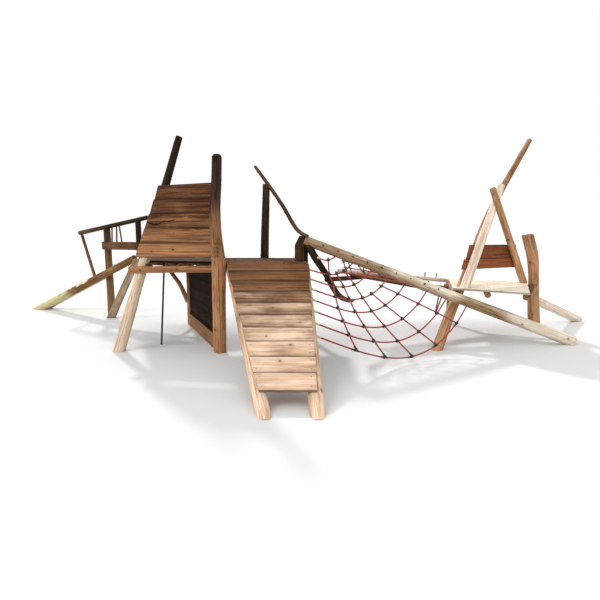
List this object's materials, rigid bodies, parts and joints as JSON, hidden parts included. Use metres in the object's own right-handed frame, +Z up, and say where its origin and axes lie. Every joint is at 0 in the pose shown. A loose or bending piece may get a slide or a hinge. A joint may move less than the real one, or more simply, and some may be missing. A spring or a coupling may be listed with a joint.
{
  "type": "cargo climbing net",
  "caption": "Rope cargo net hung between a timber ramp and a long sloping log beam, with the rustic log climbing frame, decks, bridge and balance logs that carry it",
  "frame": {"origin": "middle of the footprint at ground level", "axes": "+X runs along the frame from the balance logs to the far tower, +Y runs away from the ramp's foot, +Z is up"},
  "size_m": [11.1722, 6.2022, 3.1273],
  "materials": {
    "weathered_log": "weathered, smooth peeled log",
    "dark_log": "dark weathered log",
    "pale_log": "pale peeled log",
    "brown_log": "warm brown log with knots",
    "deck_board": "sawn board",
    "ramp_board": "sawn board, worn",
    "wall_board": "sawn board with cracks",
    "dark_board": "stained sawn board",
    "net_rope": "braided rope with steel core",
    "bridge_rope": "braided rope",
    "clamp_black": "moulded",
    "sleeve_tan": "moulded",
    "strap_black": "webbing",
    "fixing_steel": "galvanised, weathered",
    "pole_steel": "dark paint"
  },
  "bodies": {
    "root": {"back_legs": "brown_log", "balance_logs": "pale_log", "branch_brace": "brown_log", "bridge_hangers": "strap_black", "bridge_net_ropes": "bridge_rope", "bridge_planks": "deck_board", "bridge_sill": "brown_log", "corner_post": "dark_log", "far_beam": "pale_log", "far_right_log": "pale_log", "handrail_pole": "brown_log", "landing_deck_boards": "deck_board", "landing_header": "brown_log", "landing_joists": "brown_log", "landing_post": "brown_log", "near_beam_lower": "weathered_log", "near_beam_upper": "weathered_log", "net_beam_bolts": "fixing_steel", "net_cross_clamps": "clamp_black", "net_edge_sleeves": "clamp_black", "net_end_sleeves": "sleeve_tan", "net_rope_across_1": "net_rope", "net_rope_across_2": "net_rope", "net_rope_across_3": "net_rope", "net_rope_across_4": "net_rope", "net_rope_across_5": "net_rope", "net_rope_across_6": "net_rope", "net_rope_across_7": "net_rope", "net_rope_across_8": "net_rope", "net_rope_down_1": "net_rope", "net_rope_down_2": "net_rope", "net_rope_down_3": "net_rope", "net_rope_down_4": "net_rope", "net_rope_down_5": "net_rope", "net_sling": "strap_black", "platform_back_boards": "dark_board", "platform_crossing_log": "brown_log", "platform_curved_post": "brown_log", "platform_deck_boards": "deck_board", "platform_joists": "brown_log", "platform_light_log": "pale_log", "platform_long_leg": "brown_log", "rail_lower_board": "dark_board", "rail_posts": "dark_log", "rail_slats": "brown_log", "rail_top_log": "dark_log", "ramp_boards": "ramp_board", "ramp_stringer_left": "brown_log", "ramp_stringer_right": "brown_log", "steel_pole": "pole_steel", "timber_bolts": "fixing_steel", "tower_back_leg": "pale_log", "tower_brace": "dark_log", "tower_deck_boards": "deck_board", "tower_front_rail": "brown_log", "tower_joists": "brown_log", "tower_post_left": "dark_log", "tower_post_right": "brown_log", "tower_side_boards": "dark_board", "tower_wall_boards": "wall_board"}
  },
  "joints": []
}
